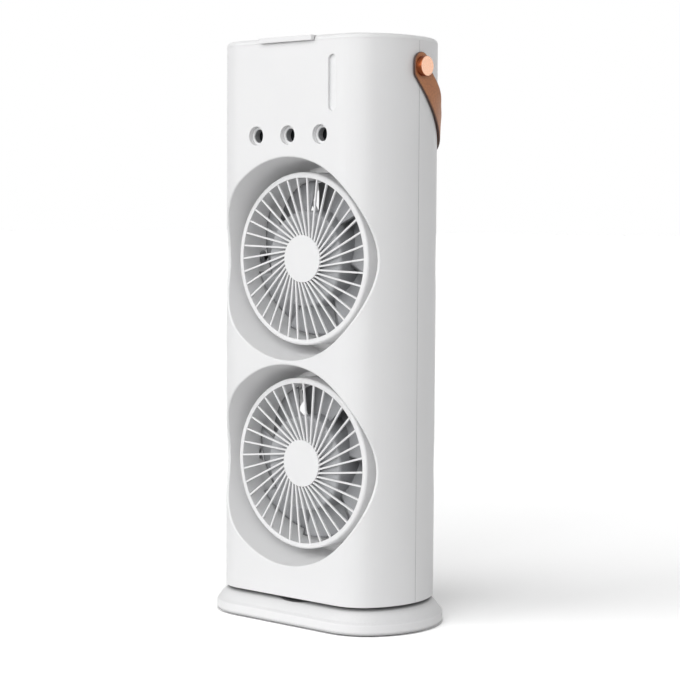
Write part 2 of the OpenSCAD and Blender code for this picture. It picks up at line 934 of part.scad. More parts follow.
module leaning_spokes(count, turn) {
    inner = reach(disc_r - spoke_root);
    for (i = [0 : count - 1])
        rotate(turn + 360 * i / count)
            translate([inner, -spoke_lean - spoke_w / 2])
                square([reach(rim_inner + spoke_root) - inner, spoke_w]);
}

module front_grille(count, turn) {
    translate([0, 0, face_z])
        rotate_extrude()
            rim_section(front_rim_h);
    translate([0, 0, face_z - spoke_sink - spoke_d])
        linear_extrude(height = spoke_d)
            leaning_spokes(count, turn);
    translate([0, 0, face_z - spoke_sink - spoke_d - disc_proud])
        cylinder(r = disc_r, h = spoke_d + 2 * disc_proud);
}

module rear_grille() {
    mirror([0, 0, 1])
        translate([0, 0, -back_z])
            rotate_extrude()
                rim_section(rear_rim_h);
    translate([0, 0, back_z])
        linear_extrude(height = rear_spoke_d) {
            for (i = [0 : rear_spokes - 1])
                rotate(360 * i / rear_spokes)
                    translate([motor_r, -spoke_w / 2])
                        square([rim_inner + spoke_root - motor_r, spoke_w]);
            circle(r = motor_r + casing_t / 2);
        }
}

module casing() {
    difference() {
        translate([0, 0, rear_split])
            ring(head_r, casing_inner, grille_split - rear_split);
        rod_x(pivot_r + run, -head_r - eps, 2 * head_r + 2 * eps);
    }
}

module fan_motor() {
    translate([0, 0, motor_z])
        ring(motor_r, shaft_r + run, motor_h);
}

module pivot_pins() {
    for (side = [0, 1])
        mirror([side, 0, 0])
            difference() {
                union() {
                    rod_x(pin_flange_r, pin_start - pin_flange_t, pin_flange_t);
                    rod_x(pivot_r, pin_start - eps, pin_end - pin_start + eps);
                }
                rod_x(lead_r, pin_start - pin_flange_t - eps, 2 * pin_end);
            }
}

module pivot_clips() {
    for (side = [0, 1])
        mirror([side, 0, 0])
            translate([clip_x + bush_flange + 2 * run, 0, 0])
                rotate([0, 90, 0])
                    ring(pivot_r + clip_w, pivot_r, clip_t);
}

module pivot_bushes() {
    for (side = [0, 1])
        mirror([side, 0, 0])
            rotate([0, 90, 0]) {
                translate([0, 0, waist_r + bush_setback])
                    ring(bush_r, pivot_r + run, clip_x - waist_r - bush_setback + bush_flange / 2);
                translate([0, 0, clip_x])
                    ring(bush_r + bush_lip, pivot_r + run, bush_flange);
            }
}

module blade() {
    root = cup_r - blade_root;
    line = [for (t = [0 : 0.25 : 1])
        (root + (blade_tip - root) * t) * [cos(blade_lean * (1 - t)), sin(blade_lean * (1 - t))]];
    linear_extrude(height = blade_h, twist = blade_twist, slices = 8, $fn = 16)
        polygon(concat(line, [for (p = reversed(line)) p + [0, blade_t]]));
}

module impeller() {
    difference() {
        union() {
            difference() {
                translate([0, 0, blade_z - 1])
                    cylinder(r = cup_r, h = cup_front - blade_z + 1);
                translate([0, 0, blade_z - 2])
                    cylinder(r = cup_r - cup_t, h = cup_front - blade_z + 2 - cup_t);
            }
            translate([0, 0, motor_z + motor_h + 1])
                cylinder(r = boss_r, h = cup_front - motor_z - motor_h - 1 - cup_t / 3);
            for (i = [0 : blades - 1])
                rotate(360 * i / blades)
                    translate([0, 0, blade_z])
                        blade();
        }
        translate([0, 0, motor_z])
            cylinder(r = shaft_r, h = cup_front - motor_z - 1);
    }
}

module motor_shaft() {
    translate([0, 0, motor_z + 0.5])
        cylinder(r = shaft_r, h = cup_front - motor_z - 1.5);
}

module upper_casing() { color(white) at_head(upper_z) casing(); }
module upper_front_grille() { color(white) at_head(upper_z) front_grille(upper_spokes, upper_turn); }
module upper_rear_grille() { color(white) at_head(upper_z) rear_grille(); }
module upper_motor() { color("dimgray") at_head(upper_z) fan_motor(); }
module upper_pivot_pins() { color("silver") at_head(upper_z) pivot_pins(); }
module upper_pivot_clips() { color("silver") at_head(upper_z) pivot_clips(); }
module upper_pivot_bushes() { color("ivory") at_head(upper_z) pivot_bushes(); }
module upper_impeller() { color(shade) at_head(upper_z) impeller(); }
module upper_motor_shaft() { color("silver") at_head(upper_z) motor_shaft(); }

module lower_casing() { color(white) at_head(lower_z) casing(); }
module lower_front_grille() { color(white) at_head(lower_z) front_grille(lower_spokes, lower_turn); }
module lower_rear_grille() { color(white) at_head(lower_z) rear_grille(); }
module lower_motor() { color("dimgray") at_head(lower_z) fan_motor(); }
module lower_pivot_pins() { color("silver") at_head(lower_z) pivot_pins(); }
module lower_pivot_clips() { color("silver") at_head(lower_z) pivot_clips(); }
module lower_pivot_bushes() { color("ivory") at_head(lower_z) pivot_bushes(); }
module lower_impeller() { color(shade) at_head(lower_z) rotate(17) impeller(); }
module lower_motor_shaft() { color("silver") at_head(lower_z) motor_shaft(); }

// Lid and buttons

module tank_lid() {
    plate = cover_t - filler_gap;
    color(white) difference() {
        union() {
            translate([-lid_w / 2, front_y - lip, height - plate])
                cube([lid_w, hinge_y - front_y + lip, plate]);
            translate([0, hinge_y, hinge_z])
                rod_x(cover_t / 2 - 0.1, -lid_w / 2, lid_w);
        }
        translate([0, hinge_y, hinge_z])
            rod_x(hinge_r, -lid_w, 2 * lid_w);
    }
}

module lid_hinge_pin() {
    color("silver") translate([0, hinge_y, hinge_z])
        rod_x(hinge_r, -lid_w / 2 - pin_reach, lid_w + 2 * pin_reach);
}

button_proud = 0.6;
button_flange = 1;
button_flange_t = 1.2;
stem_z = switch_top + button_travel + button_slide;

module button(i) {
    color(white) translate([button_x[i], button_y, 0]) {
        translate([0, 0, cover_z - button_flange_t / 2])
            cylinder(r = button_dia / 2, h = cover_t + button_flange_t / 2 + button_proud);
        translate([0, 0, cover_z - button_flange_t - button_slide])
            cylinder(r = button_dia / 2 + button_flange, h = button_flange_t);
        translate([0, 0, stem_z])
            cylinder(r = plunger_r - 0.3, h = cover_z - button_flange_t / 2 - stem_z);
    }
}

// Studs and strap

strap_x = body_w / 2 + strap_gap;
stud_head_t = 3.6;
stud_edge_r = 0.6;
stud_washer = 2;
nut_r = 4.6;
nut_t = 2.4;
nut_x = body_w / 2 - wall - nut_t - 0.4;

module stud(side) {
    head_x = strap_x + strap_t + run;
    color("peru") translate([0, 0, stud_z])
        mirror([side < 0 ? 1 : 0, 0, 0]) {
            rod_x(stud_r, nut_x - seat_gap, head_x - nut_x + seat_gap);
            rod_x(stud_r + stud_washer, body_w / 2 + 2 * run, strap_gap - 3 * run);
            translate([head_x, 0, 0])
                rotate([0, 90, 0])
                    rotate_extrude() {
                        square([stud_dia / 2 - stud_edge_r, stud_head_t]);
                        square([stud_dia / 2, stud_head_t - stud_edge_r]);
                        translate([stud_dia / 2 - stud_edge_r, stud_head_t - stud_edge_r])
                            circle(r = stud_edge_r);
                    }
        }
}

module stud_nuts() {
    color("silver") for (side = [0, 1])
        mirror([side, 0, 0])
            translate([nut_x, 0, stud_z])
                rotate([0, 90, 0])
                    difference() {
                        cylinder(r = nut_r, h = nut_t, $fn = 6);
                        translate([0, 0, -eps])
                            cylinder(r = stud_r, h = nut_t + 2 * eps);
                    }
}

// The strap hangs a little lower than its studs, and its round end stands up in front of them
strap_shift = 1.5;
strap_end_front = 5.7;
strap_nose_r = strap_w / 2;
strap_nose_rise = 1.7;
strap_nose_back = strap_nose_r - strap_end_front;
strap_low = strap_w / 2 + strap_shift;
strap_high = strap_w / 2 - strap_shift;
strap_nose_y = strap_nose_back * sin(strap_angle) - strap_nose_rise * cos(strap_angle);
strap_nose_z = strap_nose_back * cos(strap_angle) + strap_nose_rise * sin(strap_angle);
strap_kink_y = (strap_low * cos(strap_angle) - strap_end_front) / sin(strap_angle);
edge_back = strap_low * cos(strap_angle);
strap_curve = [for (p = quarter(tower, -strap_gap)) [p[0], (p[1] + edge_back) / sin(strap_angle)]];

// Room inside the strap, in its own plane
module strap_inside() {
    polygon(concat(
        [[strap_x, -3 * strap_w]],
        strap_curve,
        [for (p = reversed(strap_curve)) [-p[0], p[1]]],
        [[-strap_x, -3 * strap_w]]));
}

// The strap seen from the side, along and across its own plane
module strap_outline() {
    long = 2 * body_d;
    nose = [strap_nose_y, strap_nose_z];
    translate(nose)
        circle(r = strap_nose_r);
    polygon([
        nose - strap_nose_r * [sin(strap_angle), cos(strap_angle)],
        [strap_kink_y, -strap_low],
        [long, -strap_low],
        [long, strap_high],
        [strap_nose_y, strap_high],
        nose
    ]);
}

module carry_strap() {
    color("saddlebrown") translate([0, 0, stud_z])
        difference() {
            rotate([strap_angle - 90, 0, 0])
                intersection() {
                    translate([0, 0, -strap_low])
                        linear_extrude(height = strap_low + strap_nose_z + strap_nose_r)
                            difference() {
                                offset(r = strap_t)
                                    strap_inside();
                                strap_inside();
                            }
                    translate([-body_w, 0, 0])
                        rotate([90, 0, 90])
                            linear_extrude(height = 2 * body_w)
                                strap_outline();
                }
            rod_x(stud_r + run, -body_w, 2 * body_w);
        }
}

module nozzle_left() { nozzle(0); }
module nozzle_centre() { nozzle(1); }
module nozzle_right() { nozzle(2); }
module mist_disc_left() { mist_disc(0); }
module mist_disc_centre() { mist_disc(1); }
module mist_disc_right() { mist_disc(2); }
module wick_left() { wick(0); }
module wick_centre() { wick(1); }
module wick_right() { wick(2); }
module stud_left() { stud(-1); }
module stud_right() { stud(1); }
module power_button() { button(0); }
module mist_button() { button(1); }
module light_button() { button(2); }

base_cover();
base_plate();
anti_slip_pad();
base_weight();
base_screws();
swing_shaft();
swing_retainer();
glide_ring();
front_shell();
rear_shell();
top_cover();
bottom_cover();
water_tank();
level_window();
nozzle_left();
nozzle_centre();
nozzle_right();
mist_disc_left();
mist_disc_centre();
mist_disc_right();
disc_seals();
wick_left();
wick_centre();
wick_right();
control_board();
battery_cell();
battery_holder();
swing_motor();
charging_board();
usb_socket();
tower_screws();
stud_left();
stud_right();
stud_nuts();
upper_pivot_bushes();
lower_pivot_bushes();
upper_casing();
upper_front_grille();
upper_rear_grille();
upper_motor();
upper_pivot_pins();
upper_pivot_clips();
upper_impeller();
upper_motor_shaft();
lower_casing();
lower_front_grille();
lower_rear_grille();
lower_motor();
lower_pivot_pins();
lower_pivot_clips();
lower_impeller();
lower_motor_shaft();
carry_strap();
tank_lid();
lid_seal();
lid_hinge_pin();
power_button();
mist_button();
light_button();
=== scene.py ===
# %% [markdown]
# # A mist tower with two tilting fans
# The solids of this portable fan come from its CAD model and stay exactly as they are. This
# lesson dresses them: a camera and a soft studio, a finish for every part, and the pieces
# that a mesh shows better than a solid, such as the leather strap and the moulded fan blades.

# %% The frame
import math
import bpy
import bmesh
from mathutils import Matrix, Vector


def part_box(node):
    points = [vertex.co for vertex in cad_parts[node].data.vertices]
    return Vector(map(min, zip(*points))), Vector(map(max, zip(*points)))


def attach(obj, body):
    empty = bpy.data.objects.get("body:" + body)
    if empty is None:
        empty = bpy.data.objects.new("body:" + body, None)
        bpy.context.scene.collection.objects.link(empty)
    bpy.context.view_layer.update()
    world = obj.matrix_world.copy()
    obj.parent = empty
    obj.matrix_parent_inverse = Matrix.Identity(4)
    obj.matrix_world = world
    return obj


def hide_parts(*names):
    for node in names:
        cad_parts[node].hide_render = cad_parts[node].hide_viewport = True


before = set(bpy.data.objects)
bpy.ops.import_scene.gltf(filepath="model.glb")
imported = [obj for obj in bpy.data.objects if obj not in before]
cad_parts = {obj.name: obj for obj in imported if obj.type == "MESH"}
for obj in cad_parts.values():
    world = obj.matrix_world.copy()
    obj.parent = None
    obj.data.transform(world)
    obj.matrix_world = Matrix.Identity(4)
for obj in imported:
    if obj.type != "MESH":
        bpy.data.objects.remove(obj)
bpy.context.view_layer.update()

# %% [markdown]
# ## Camera
# Product photographs are taken from some way off with a long lens, so that upright edges
# stay nearly parallel. Here the camera stands 41 degrees round to the fan's right and looks
# down by a little less than 4 degrees. A 99 mm lens on a 36 mm sensor frames it.

# %% Camera
camera_data = bpy.data.cameras.new("camera")
camera_data.lens = 98.77
camera_data.sensor_width = 36.0
camera_data.clip_start = 0.01
camera = bpy.data.objects.new("camera", camera_data)
bpy.context.scene.collection.objects.link(camera)
camera.matrix_world = (
    Matrix.Translation((0.68558, -0.78391, 0.22359))
    @ Matrix.Rotation(math.radians(40.854), 4, "Z")
    @ Matrix.Rotation(math.radians(90 - 3.788), 4, "X")
    @ Matrix.Rotation(math.radians(0.317), 4, "Z")
)
bpy.context.scene.camera = camera
bpy.context.scene.view_settings.view_transform = "Standard"
print("camera stands", round(camera.matrix_world.translation.length, 3), "m from the foot")

# %% [markdown]
# ## Colour and nodes
# Colours are written as the hex values a paint chart gives, which are sRGB. Blender's
# shaders work in linear light, so one function turns the first into the second.
# A second one adds a shader node with its settings and its inputs, and a third starts a
# material from its colour and its typical roughness and index of refraction.

# %% Colour and node helpers
def linear(hex_colour):
    channels = [int(hex_colour[i:i + 2], 16) / 255 for i in (1, 3, 5)]
    return tuple(c / 12.92 if c <= 0.04045 else ((c + 0.055) / 1.055) ** 2.4 for c in channels) + (1.0,)


def add(tree, kind, settings=None, inputs=None):
    node = tree.nodes.new("ShaderNode" + kind)
    for name, value in (settings or {}).items():
        setattr(node, name, value)
    for name, value in (inputs or {}).items():
        if isinstance(value, bpy.types.NodeSocket):
            tree.links.new(value, node.inputs[name])
        else:
            node.inputs[name].default_value = value
    return node


def start_material(name, roughness, ior=1.5, metallic=0.0):
    material = bpy.data.materials.new(name)
    material.use_nodes = True
    tree = material.node_tree
    shader = tree.nodes["Principled BSDF"]
    shader.inputs["Roughness"].default_value = roughness
    shader.inputs["IOR"].default_value = ior
    shader.inputs["Metallic"].default_value = metallic
    place = add(tree, "TexCoord").outputs["Object"]
    return material, tree, shader, place


def per_mm(size):
    """Texture scale at which one feature is size millimetres wide, in a scene in metres."""
    return 1000.0 / size


print("mid grey #808080 is", round(linear("#808080")[0], 3), "in linear light")

# %% [markdown]
# ## Moulded ABS
# The tower, its covers, the grilles and the base are injection-moulded ABS. The steel mould
# was spark-eroded, which leaves a skin of tiny pits, so the plastic is satin and not glossy.
# Three layers make that: broad shade drift from the melt's flow, a faint change of gloss,
# and the pitted skin as bump. The real pits are 0.1 to 0.2 mm wide, which is too fine to
# show, so they are drawn 0.45 mm wide. A Bevel node rounds the light along every moulded
# edge, because no moulded edge is razor sharp. Soft shade is painted into the colour too: in
# the white plastic's seams, deep in the fan heads, and on the base under the tower's edge and
# along its foot. An Ambient Occlusion node measures how open each point is, and a range of
# heights limits it.

# %% Moulded ABS
def moulded(name, light, dark, roughness, ior, edge_mm, pit_mm, pit_depth):
    material, tree, shader, place = start_material(name, roughness, ior)
    drift = add(tree, "TexNoise", None, {"Vector": place, "Scale": per_mm(45), "Detail": 2.0})
    tint = add(tree, "Mix", {"data_type": "RGBA"},
               {"Factor": drift.outputs["Fac"], 6: linear(light), 7: linear(dark)})
    tree.links.new(tint.outputs[2], shader.inputs["Base Color"])
    gloss = add(tree, "TexNoise", None, {"Vector": place, "Scale": per_mm(7), "Detail": 3.0})
    spread = add(tree, "MapRange", None, {"Value": gloss.outputs["Fac"], "To Min": roughness - 0.05,
                                          "To Max": roughness + 0.05})
    tree.links.new(spread.outputs["Result"], shader.inputs["Roughness"])
    pits = add(tree, "TexNoise", None, {"Vector": place, "Scale": per_mm(pit_mm), "Detail": 1.0})
    edge = add(tree, "Bevel", {"samples": 4}, {"Radius": edge_mm / 1000})
    skin = add(tree, "Bump", None, {"Height": pits.outputs["Fac"], "Distance": pit_depth / 1000,
                                    "Strength": 0.5, "Normal": edge.outputs["Normal"]})
    tree.links.new(skin.outputs["Normal"], shader.inputs["Normal"])
    return material


ABOVE_ALL = 1000  # mm, far above the fan, so that a shade ending here never fades


# painted shade: darkens the colour by ambient occlusion
def deep_shade(material, dark, reach_mm, open_from, open_to, full_mm=ABOVE_ALL - 1, none_mm=ABOVE_ALL):
    """Paints shade into a part's colour where little space is open. The heights full_mm and
    none_mm say from where to where the painted shade fades out."""
    tree = material.node_tree
    colour = tree.nodes["Principled BSDF"].inputs["Base Color"]
    open_space = add(tree, "AmbientOcclusion", {"samples": 8}, {"Distance": reach_mm / 1000})
    level = add(tree, "MapRange", None, {"Value": open_space.outputs["AO"], "From Min": open_from,
                                         "From Max": open_to})
    height = add(tree, "SeparateXYZ", None, {"Vector": add(tree, "TexCoord").outputs["Object"]})
    free = add(tree, "MapRange", None, {"Value": height.outputs["Z"], "From Min": full_mm / 1000,
                                        "From Max": none_mm / 1000})
    kept = add(tree, "Math", {"operation": "MAXIMUM"}, {0: level.outputs["Result"],
                                                        1: free.outputs["Result"]})
    tint = add(tree, "Mix", {"data_type": "RGBA"},
               {"Factor": kept.outputs[0], 6: linear(dark), 7: colour.links[0].from_socket})
    tree.links.new(tint.outputs[2], colour)


satin_white = ("#F1F1F1", "#EDEDEE", 0.42, 1.53, 0.35, 0.45, 0.02)
white_abs = moulded("ABS moulded satin white", *satin_white)
# the base's own copy of the white finish, which carries painted shade under the tower and along the foot
base_abs_painted_shade = moulded("ABS moulded white, base, painted shade", *satin_white)
grey_fan = moulded("polypropylene moulded grey", "#BEBFC1", "#B6B7BA", 0.38, 1.49, 0.2, 0.6, 0.02)
acetal = moulded("acetal machined ivory", "#EDEAE0", "#E6E2D6", 0.36, 1.48, 0.15, 0.8, 0.01)
dark_nylon = moulded("nylon moulded black", "#2A2B2D", "#222325", 0.5, 1.53, 0.25, 0.5, 0.04)
# painted shade in the seams, creases and recess edges of every white part
deep_shade(white_abs, "#6E6E6F", 1.5, 0.2, 0.62)
# painted shade deep inside both fan heads, over the wheels' blades
deep_shade(grey_fan, "#808184", 22, 0.1, 0.7)
# painted shadow on the base's slope under the tower's edge, above 7 mm
deep_shade(base_abs_painted_shade, "#707071", 20, 0.45, 0.92, 7.0, 6.2)
# painted contact shade along the base's foot, below 1.6 mm and fading out by 3 mm
deep_shade(base_abs_painted_shade, "#3C3C3D", 3.5, 0.55, 0.9, 1.6, 3.0)
print("moulded plastics:", white_abs.name, "/", grey_fan.name, "/", acetal.name, "/", dark_nylon.name)

# %% [markdown]
# ## Frosted and clear plastic
# The level window is frosted polycarbonate: etched on one side, it lets a little light
# through and blurs what lies behind it. The tank is clear SAN. Both are mixes of a coloured surface and
# transmission, and the frost is a high roughness with a fine bump.

# %% Frosted and clear plastic
def see_through(name, colour, roughness, clearness, frost_mm):
    material, tree, shader, place = start_material(name, roughness, 1.585)
    frost = add(tree, "TexNoise", None, {"Vector": place, "Scale": per_mm(frost_mm), "Detail": 2.0})
    tint = add(tree, "Mix", {"data_type": "RGBA"},
               {"Factor": frost.outputs["Fac"], 6: linear(colour), 7: linear("#FFFFFF")})
    tree.links.new(tint.outputs[2], shader.inputs["Base Color"])
    skin = add(tree, "Bump", None, {"Height": frost.outputs["Fac"], "Distance": 0.00002,
                                    "Strength": 0.4})
    tree.links.new(skin.outputs["Normal"], shader.inputs["Normal"])
    shader.inputs["Transmission Weight"].default_value = clearness
    return material


frosted = see_through("polycarbonate frosted", "#EFF0F1", 0.5, 0.08, 0.3)
clear_tank = see_through("SAN clear", "#E4EEF4", 0.08, 0.85, 6)
print("see-through plastics:", frosted.name, "/", clear_tank.name)

# %% [markdown]
# ## Leather
# The strap is vegetable-tanned leather, brown and slightly waxed. The eye reads leather by
# its pebbled grain, by the lighter tops and darker valleys of that grain, and by slow
# changes of colour where the hide took the dye unevenly. The cut edges are burnished: rubbed
# until they are darker and smoother than the face. The strap's mesh carries how close each
# point is to the edge in a colour attribute named edge, and the material darkens by it.

# %% Leather
GRAIN_MM = 0.9


def tanned_leather():
    material, tree, shader, place = start_material("leather vegetable-tanned brown", 0.5, 1.5)
    cloud = add(tree, "TexNoise", None, {"Vector": place, "Scale": per_mm(9), "Detail": 4.0,
                                         "Roughness": 0.6})
    pebble = add(tree, "TexVoronoi", {"feature": "SMOOTH_F1"},
                 {"Vector": place, "Scale": per_mm(GRAIN_MM), "Smoothness": 0.6})
    crease = add(tree, "TexNoise", None, {"Vector": place, "Scale": per_mm(2.2), "Detail": 6.0,
                                          "Distortion": 1.2})
    dye = add(tree, "Mix", {"data_type": "RGBA"},
              {"Factor": cloud.outputs["Fac"], 6: linear("#B06A46"), 7: linear("#D8965F")})
    valley = add(tree, "MapRange", None, {"Value": pebble.outputs["Distance"], "From Min": 0.1,
                                          "From Max": 0.7, "To Min": 0.0, "To Max": 0.45})
    grain = add(tree, "Mix", {"data_type": "RGBA"},
                {"Factor": valley.outputs["Result"], 6: dye.outputs[2], 7: linear("#8A5034")})
    edge = add(tree, "Attribute", {"attribute_name": "edge"})
    burnish = add(tree, "Mix", {"data_type": "RGBA"},
                  {"Factor": edge.outputs["Fac"], 6: grain.outputs[2], 7: linear("#3E231B")})
    tree.links.new(burnish.outputs[2], shader.inputs["Base Color"])
    wax = add(tree, "MapRange", None, {"Value": edge.outputs["Fac"], "To Min": 0.52, "To Max": 0.36})
    tree.links.new(wax.outputs["Result"], shader.inputs["Roughness"])
    relief = add(tree, "Math", {"operation": "MULTIPLY_ADD"},
                 {0: crease.outputs["Fac"], 1: 0.6, 2: pebble.outputs["Distance"]})
    skin = add(tree, "Bump", None, {"Height": relief.outputs["Value"], "Distance": 0.0001,
                                    "Strength": 0.55})
    tree.links.new(skin.outputs["Normal"], shader.inputs["Normal"])
    shader.inputs["Sheen Weight"].default_value = 0.05
    shader.inputs["Sheen Roughness"].default_value = 0.5
    return material


leather = tanned_leather()
print("leather grain:", per_mm(GRAIN_MM), "cells per metre")

# %% [markdown]
# ## Metals
# A lathe leaves fine rings round its axis, a press leaves a smooth skin, and plating adds a
# faint cloudiness. Each metal here is a metallic surface whose colour is the metal's own,
# with a stretched noise for the marks of its making. The studs are turned copper, polished
# and lacquered, so they keep a rosy colour and a soft, clear shine.

# %% Metals
def worked_metal(name, colour, shade, roughness, mark_mm, mark_depth, stretch=(1, 1, 1)):
    material, tree, shader, place = start_material(name, roughness, metallic=1.0)
    lay = add(tree, "Mapping", None, {"Vector": place, "Scale": stretch})
    marks = add(tree, "TexNoise", None, {"Vector": lay.outputs["Vector"], "Scale": per_mm(mark_mm),
                                         "Detail": 3.0})
    tint = add(tree, "Mix", {"data_type": "RGBA"},
               {"Factor": marks.outputs["Fac"], 6: linear(colour), 7: linear(shade)})
    tree.links.new(tint.outputs[2], shader.inputs["Base Color"])
    spread = add(tree, "MapRange", None, {"Value": marks.outputs["Fac"], "To Min": roughness * 0.8,
                                          "To Max": roughness * 1.2})
    tree.links.new(spread.outputs["Result"], shader.inputs["Roughness"])
    skin = add(tree, "Bump", None, {"Height": marks.outputs["Fac"], "Distance": mark_depth / 1000,
                                    "Strength": 0.3})
    tree.links.new(skin.outputs["Normal"], shader.inputs["Normal"])
    return material


def shade_painted_on_side(material, dark):
    """Paints shade on the side of a piece turned about X; only its flat face keeps the plain colour."""
    tree = material.node_tree
    colour = tree.nodes["Principled BSDF"].inputs["Base Color"]
    normal = add(tree, "SeparateXYZ", None, {"Vector": add(tree, "TexCoord").outputs["Normal"]})
    flat = add(tree, "Math", {"operation": "ABSOLUTE"}, {0: normal.outputs["X"]})
    face = add(tree, "MapRange", None, {"Value": flat.outputs[0], "From Min": 0.6, "From Max": 0.95})
    tint = add(tree, "Mix", {"data_type": "RGBA"},
               {"Factor": face.outputs["Result"], 6: linear(dark), 7: colour.links[0].from_socket})
    tree.links.new(tint.outputs[2], colour)


copper = worked_metal("copper turned and lacquered", "#FCCFB4", "#F5C0A2", 0.26, 0.8, 0.01, (8, 1, 1))
steel = worked_metal("steel turned bright", "#C9CACB", "#B9BABC", 0.28, 0.5, 0.01, (1, 1, 6))
motor_can = worked_metal("steel drawn and zinc-plated", "#8F9194", "#7D7F83", 0.4, 1.5, 0.02)
foil = worked_metal("steel foil etched", "#3A3C3F", "#2A2C2E", 0.35, 0.6, 0.01)
# painted shade: the studs' round sides are darkened, their flat faces keep the copper colour
shade_painted_on_side(copper, "#8C4A2A")
print("metals:", copper.name, "/", steel.name, "/", motor_can.name, "/", foil.name)

# %% [markdown]
# ## Rubber, silicone, board, sleeve and cotton
# What is left is small or hidden, and still needs a true finish. The foot is matt moulded
# rubber. The seals are a lighter grey silicone, and one of them is the wall that the eye meets
# inside each nozzle's hole. The circuit boards are glass cloth under green resist, so a fine woven relief
# shows through the gloss. The battery wears a shrunk PVC sleeve, and the wicks are
# packed cotton fibre, drawn as a fine noise.

# %% Rubber, silicone, board, sleeve and cotton
def plain_finish(name, light, dark, roughness, ior, pattern, pattern_inputs, relief_mm):
    material, tree, shader, place = start_material(name, roughness, ior)
    figure = add(tree, pattern, None, dict({"Vector": place}, **pattern_inputs))
    level = figure.outputs["Fac"]
    tint = add(tree, "Mix", {"data_type": "RGBA"},
               {"Factor": level, 6: linear(light), 7: linear(dark)})
    tree.links.new(tint.outputs[2], shader.inputs["Base Color"])
    skin = add(tree, "Bump", None, {"Height": level, "Distance": relief_mm / 1000, "Strength": 0.5})
    tree.links.new(skin.outputs["Normal"], shader.inputs["Normal"])
    return material


rubber = plain_finish("rubber moulded black", "#3C3D3F", "#303133", 0.75, 1.52, "TexNoise",
                      {"Scale": per_mm(0.8), "Detail": 3.0}, 0.05)
silicone = plain_finish("silicone moulded grey", "#98999B", "#8C8D8F", 0.6, 1.41, "TexNoise",
                        {"Scale": per_mm(1.2), "Detail": 2.0}, 0.02)
board = plain_finish("glass-epoxy board green", "#1F6B3E", "#185A33", 0.3, 1.55, "TexWave",
                     {"Scale": per_mm(4), "Distortion": 0.6}, 0.02)
sleeve = plain_finish("PVC shrink sleeve blue", "#2F4F8F", "#29467F", 0.32, 1.54, "TexNoise",
                      {"Scale": per_mm(5), "Detail": 2.0}, 0.03)
cotton = plain_finish("cotton packed fibre", "#F0EADB", "#DDD4BF", 0.95, 1.5, "TexNoise",
                      {"Scale": per_mm(0.5), "Detail": 5.0}, 0.2)
print("other finishes:", " / ".join(m.name for m in (rubber, silicone, board, sleeve, cotton)))

# %% [markdown]
# ## A finish for every solid
# Every solid of the frame gets its finish here, by name, and nothing is left bare. A
# solid's mesh comes in with one empty material slot for its whole surface.

# %% A finish for every solid
finishes = {
    base_abs_painted_shade: "base_cover",
    white_abs: """front_shell rear_shell top_cover nozzle_left nozzle_centre nozzle_right
        upper_casing upper_front_grille upper_rear_grille lower_casing lower_front_grille
        lower_rear_grille tank_lid power_button mist_button light_button bottom_cover""",
    grey_fan: "upper_impeller lower_impeller",
    acetal: "glide_ring upper_pivot_bushes lower_pivot_bushes",
    dark_nylon: "base_plate battery_holder",
    frosted: "level_window",
    clear_tank: "water_tank",
    leather: "carry_strap",
    copper: "stud_left stud_right",
    steel: """base_weight base_screws swing_shaft swing_retainer tower_screws stud_nuts usb_socket
        upper_pivot_pins upper_pivot_clips upper_motor_shaft lower_pivot_pins lower_pivot_clips
        lower_motor_shaft lid_hinge_pin""",
    motor_can: "swing_motor upper_motor lower_motor",
    foil: "mist_disc_left mist_disc_centre mist_disc_right",
    rubber: "anti_slip_pad",
    silicone: "lid_seal disc_seals",
    board: "control_board charging_board",
    sleeve: "battery_cell",
    cotton: "wick_left wick_centre wick_right",
}
for material, names in finishes.items():
    for name in names.split():
        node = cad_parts[name]
        node.data.materials.clear()
        node.data.materials.append(material)
bare = sorted(set(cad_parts) - set(" ".join(finishes.values()).split()))
print(len(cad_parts), "solids dressed, left bare:", bare)

# %% [markdown]
# ## The leather strap
# The real strap is one flat band cut from a hide, wrapped round the back of the tower and
# held by a stud at each side. Seen from the side it hangs at 45 degrees, a little lower than
# its studs, and its round ends stand upright in front of them. A band like this
# could be a curve with a profile, but a curve can't give it such an end, so a sweep in mesh
# code fits it better. Its path is the tower's own outline, drawn out because of the slant.

# %% The path of the strap
# The solids' sizes, in metres as everywhere in Blender.
BODY_W, BODY_D, FLAT_W, CORNER_R = 0.1252, 0.0712, 0.0726, 0.022
STRAP_T, STRAP_GAP, STUD_Z = 0.0014, 0.0003, 0.3036
STRAP_BELOW, STRAP_ABOVE, STRAP_FRONT = 0.0075, 0.0045, 0.0057
SLANT = math.radians(45)
NOSE_R, NOSE_RISE = 0.006, 0.0017
NOSE_BACK = NOSE_R - STRAP_FRONT
NOSE = NOSE_BACK * math.sin(SLANT) - NOSE_RISE * math.cos(SLANT)
NOSE_SIDE = NOSE_BACK * math.cos(SLANT) + NOSE_RISE * math.sin(SLANT)


def tower_quarter(grow, steps):
    """A quarter of the tower's outline from its right side to its back, grow outside it."""
    u = BODY_W / 2 - CORNER_R
    v = BODY_D / 2 - CORNER_R
    side_x = (u ** 2 - (FLAT_W / 2) ** 2 - v ** 2) / (2 * (u - FLAT_W / 2))
    side_r = BODY_W / 2 - side_x
    turn = math.atan2(v, FLAT_W / 2 - side_x)
    side = [(side_x + (side_r + grow) * math.cos(turn * i / steps),
             (side_r + grow) * math.sin(turn * i / steps)) for i in range(steps)]
    corner = [(FLAT_W / 2 + (CORNER_R + grow) * math.cos(turn + (math.pi / 2 - turn) * i / steps),
               v + (CORNER_R + grow) * math.sin(turn + (math.pi / 2 - turn) * i / steps))
              for i in range(steps + 1)]
    return side + corner


